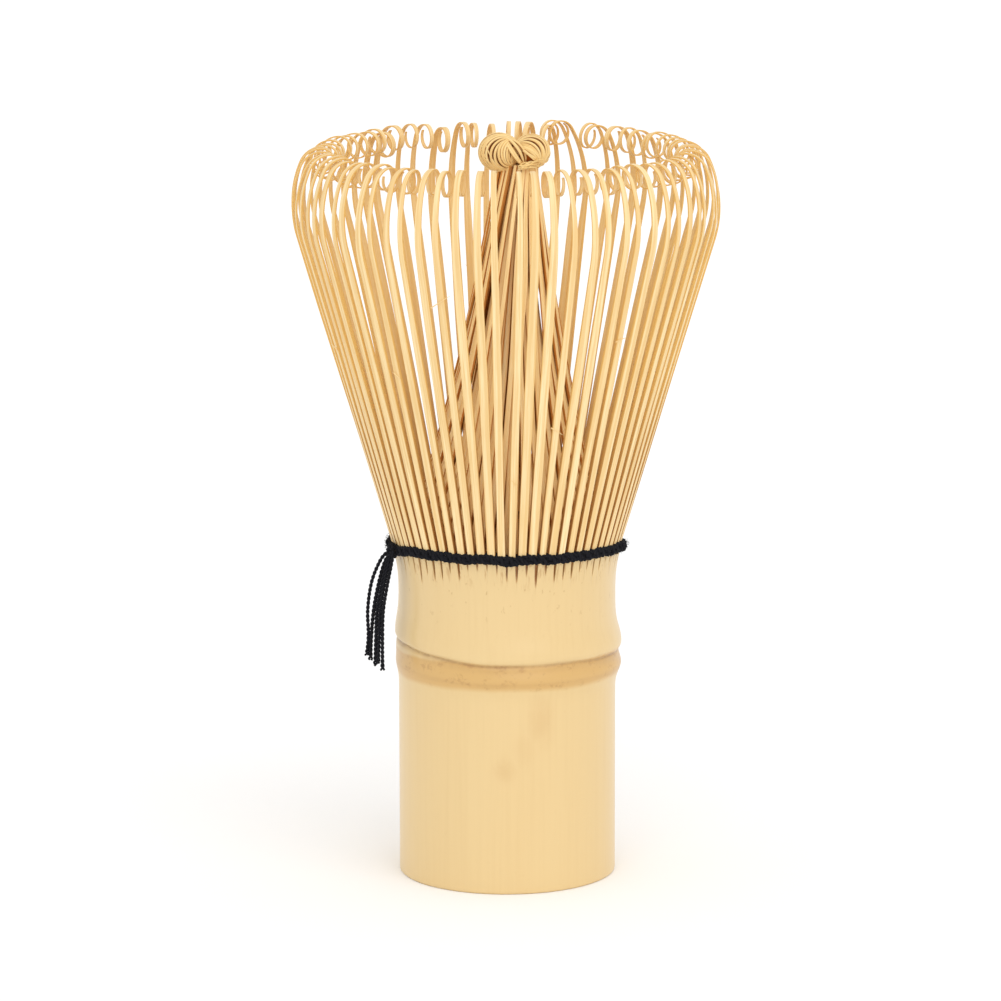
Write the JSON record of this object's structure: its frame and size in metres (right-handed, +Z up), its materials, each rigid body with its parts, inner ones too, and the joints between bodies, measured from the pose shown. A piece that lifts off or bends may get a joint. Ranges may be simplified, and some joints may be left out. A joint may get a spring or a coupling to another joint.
{
  "type": "bamboo tea whisk",
  "caption": "Bamboo tea whisk: a hollow culm handle split into a flared ring of curled, springy outer tines around a knotted cone of inner tines, bound with black thread.",
  "frame": {"origin": "centre of the handle's cut lower end, on the whisk's axis, where it stands on a table", "axes": "+Z up along the handle towards the tines; -Y towards the viewer, with the thread's knot and loose ends near -X; +X to the viewer's right"},
  "size_m": [0.0598, 0.0598, 0.105],
  "materials": {
    "bamboo_skin": "smooth satin bamboo skin, pale yellow, more orange at the joint",
    "bamboo_pith": "raw matte inner wall of bamboo",
    "tip_knot": "thin shaved bamboo strips, satin",
    "thread": "black twisted cotton thread, matte",
    "outer_tines": "shaved bamboo, satin, pale in front and darker on the cut sides",
    "inner_tines": "shaved bamboo, satin, a little darker than the outer tines"
  },
  "bodies": {
    "handle": {"handle_culm": "bamboo_skin", "joint_diaphragm": "bamboo_pith", "tip_knot": "tip_knot", "thread_strand_a": "thread", "thread_strand_b": "thread", "thread_knot": "thread", "thread_end_1": "thread", "thread_end_2": "thread", "thread_end_3": "thread", "thread_end_4": "thread", "thread_end_5": "thread", "inner_tines_01": "inner_tines", "inner_tines_02": "inner_tines", "inner_tines_03": "inner_tines", "inner_tines_04": "inner_tines", "inner_tines_05": "inner_tines", "inner_tines_06": "inner_tines", "inner_tines_07": "inner_tines", "inner_tines_08": "inner_tines", "inner_tines_09": "inner_tines", "inner_tines_10": "inner_tines", "inner_tines_11": "inner_tines", "inner_tines_12": "inner_tines", "inner_tines_13": "inner_tines", "inner_tines_14": "inner_tines", "inner_tines_15": "inner_tines", "inner_tines_16": "inner_tines", "inner_tines_17": "inner_tines", "inner_tines_18": "inner_tines"},
    "stave_01": {"outer_tines_01": "outer_tines"},
    "stave_02": {"outer_tines_02": "outer_tines"},
    "stave_03": {"outer_tines_03": "outer_tines"},
    "stave_04": {"outer_tines_04": "outer_tines"},
    "stave_05": {"outer_tines_05": "outer_tines"},
    "stave_06": {"outer_tines_06": "outer_tines"},
    "stave_07": {"outer_tines_07": "outer_tines"},
    "stave_08": {"outer_tines_08": "outer_tines"},
    "stave_09": {"outer_tines_09": "outer_tines"},
    "stave_10": {"outer_tines_10": "outer_tines"},
    "stave_11": {"outer_tines_11": "outer_tines"},
    "stave_12": {"outer_tines_12": "outer_tines"},
    "stave_13": {"outer_tines_13": "outer_tines"},
    "stave_14": {"outer_tines_14": "outer_tines"},
    "stave_15": {"outer_tines_15": "outer_tines"},
    "stave_16": {"outer_tines_16": "outer_tines"},
    "stave_17": {"outer_tines_17": "outer_tines"},
    "stave_18": {"outer_tines_18": "outer_tines"}
  },
  "joints": [
    {"name": "stave_01_flex", "type": "hinge", "parent": "handle", "child": "stave_01", "pos_m": [0.01563, 0.00276, 0.0478], "axis": [-0.1736, 0.9848, 0], "range_deg": [-3, 6], "stiffness_Nm_per_rad": 0.03},
    {"name": "stave_02_flex", "type": "hinge", "parent": "handle", "child": "stave_02", "pos_m": [0.01374, 0.00793, 0.0478], "axis": [-0.5, 0.866, 0], "range_deg": [-3, 6], "stiffness_Nm_per_rad": 0.03},
    {"name": "stave_03_flex", "type": "hinge", "parent": "handle", "child": "stave_03", "pos_m": [0.0102, 0.01216, 0.0478], "axis": [-0.766, 0.6428, 0], "range_deg": [-3, 6], "stiffness_Nm_per_rad": 0.03},
    {"name": "stave_04_flex", "type": "hinge", "parent": "handle", "child": "stave_04", "pos_m": [0.00543, 0.01491, 0.0478], "axis": [-0.9397, 0.342, 0], "range_deg": [-3, 6], "stiffness_Nm_per_rad": 0.03},
    {"name": "stave_05_flex", "type": "hinge", "parent": "handle", "child": "stave_05", "pos_m": [0, 0.01587, 0.0478], "axis": [-1, 0, 0], "range_deg": [-3, 6], "stiffness_Nm_per_rad": 0.03},
    {"name": "stave_06_flex", "type": "hinge", "parent": "handle", "child": "stave_06", "pos_m": [-0.00543, 0.01491, 0.0478], "axis": [-0.9397, -0.342, 0], "range_deg": [-3, 6], "stiffness_Nm_per_rad": 0.03},
    {"name": "stave_07_flex", "type": "hinge", "parent": "handle", "child": "stave_07", "pos_m": [-0.0102, 0.01216, 0.0478], "axis": [-0.766, -0.6428, 0], "range_deg": [-3, 6], "stiffness_Nm_per_rad": 0.03},
    {"name": "stave_08_flex", "type": "hinge", "parent": "handle", "child": "stave_08", "pos_m": [-0.01374, 0.00793, 0.0478], "axis": [-0.5, -0.866, 0], "range_deg": [-3, 6], "stiffness_Nm_per_rad": 0.03},
    {"name": "stave_09_flex", "type": "hinge", "parent": "handle", "child": "stave_09", "pos_m": [-0.01563, 0.00276, 0.0478], "axis": [-0.1736, -0.9848, 0], "range_deg": [-3, 6], "stiffness_Nm_per_rad": 0.03},
    {"name": "stave_10_flex", "type": "hinge", "parent": "handle", "child": "stave_10", "pos_m": [-0.01563, -0.00276, 0.0478], "axis": [0.1736, -0.9848, 0], "range_deg": [-3, 6], "stiffness_Nm_per_rad": 0.03},
    {"name": "stave_11_flex", "type": "hinge", "parent": "handle", "child": "stave_11", "pos_m": [-0.01374, -0.00793, 0.0478], "axis": [0.5, -0.866, 0], "range_deg": [-3, 6], "stiffness_Nm_per_rad": 0.03},
    {"name": "stave_12_flex", "type": "hinge", "parent": "handle", "child": "stave_12", "pos_m": [-0.0102, -0.01216, 0.0478], "axis": [0.766, -0.6428, 0], "range_deg": [-3, 6], "stiffness_Nm_per_rad": 0.03},
    {"name": "stave_13_flex", "type": "hinge", "parent": "handle", "child": "stave_13", "pos_m": [-0.00543, -0.01491, 0.0478], "axis": [0.9397, -0.342, 0], "range_deg": [-3, 6], "stiffness_Nm_per_rad": 0.03},
    {"name": "stave_14_flex", "type": "hinge", "parent": "handle", "child": "stave_14", "pos_m": [0, -0.01587, 0.0478], "axis": [1, 0, 0], "range_deg": [-3, 6], "stiffness_Nm_per_rad": 0.03},
    {"name": "stave_15_flex", "type": "hinge", "parent": "handle", "child": "stave_15", "pos_m": [0.00543, -0.01491, 0.0478], "axis": [0.9397, 0.342, 0], "range_deg": [-3, 6], "stiffness_Nm_per_rad": 0.03},
    {"name": "stave_16_flex", "type": "hinge", "parent": "handle", "child": "stave_16", "pos_m": [0.0102, -0.01216, 0.0478], "axis": [0.766, 0.6428, 0], "range_deg": [-3, 6], "stiffness_Nm_per_rad": 0.03},
    {"name": "stave_17_flex", "type": "hinge", "parent": "handle", "child": "stave_17", "pos_m": [0.01374, -0.00793, 0.0478], "axis": [0.5, 0.866, 0], "range_deg": [-3, 6], "stiffness_Nm_per_rad": 0.03},
    {"name": "stave_18_flex", "type": "hinge", "parent": "handle", "child": "stave_18", "pos_m": [0.01563, -0.00276, 0.0478], "axis": [0.1736, 0.9848, 0], "range_deg": [-3, 6], "stiffness_Nm_per_rad": 0.03}
  ]
}
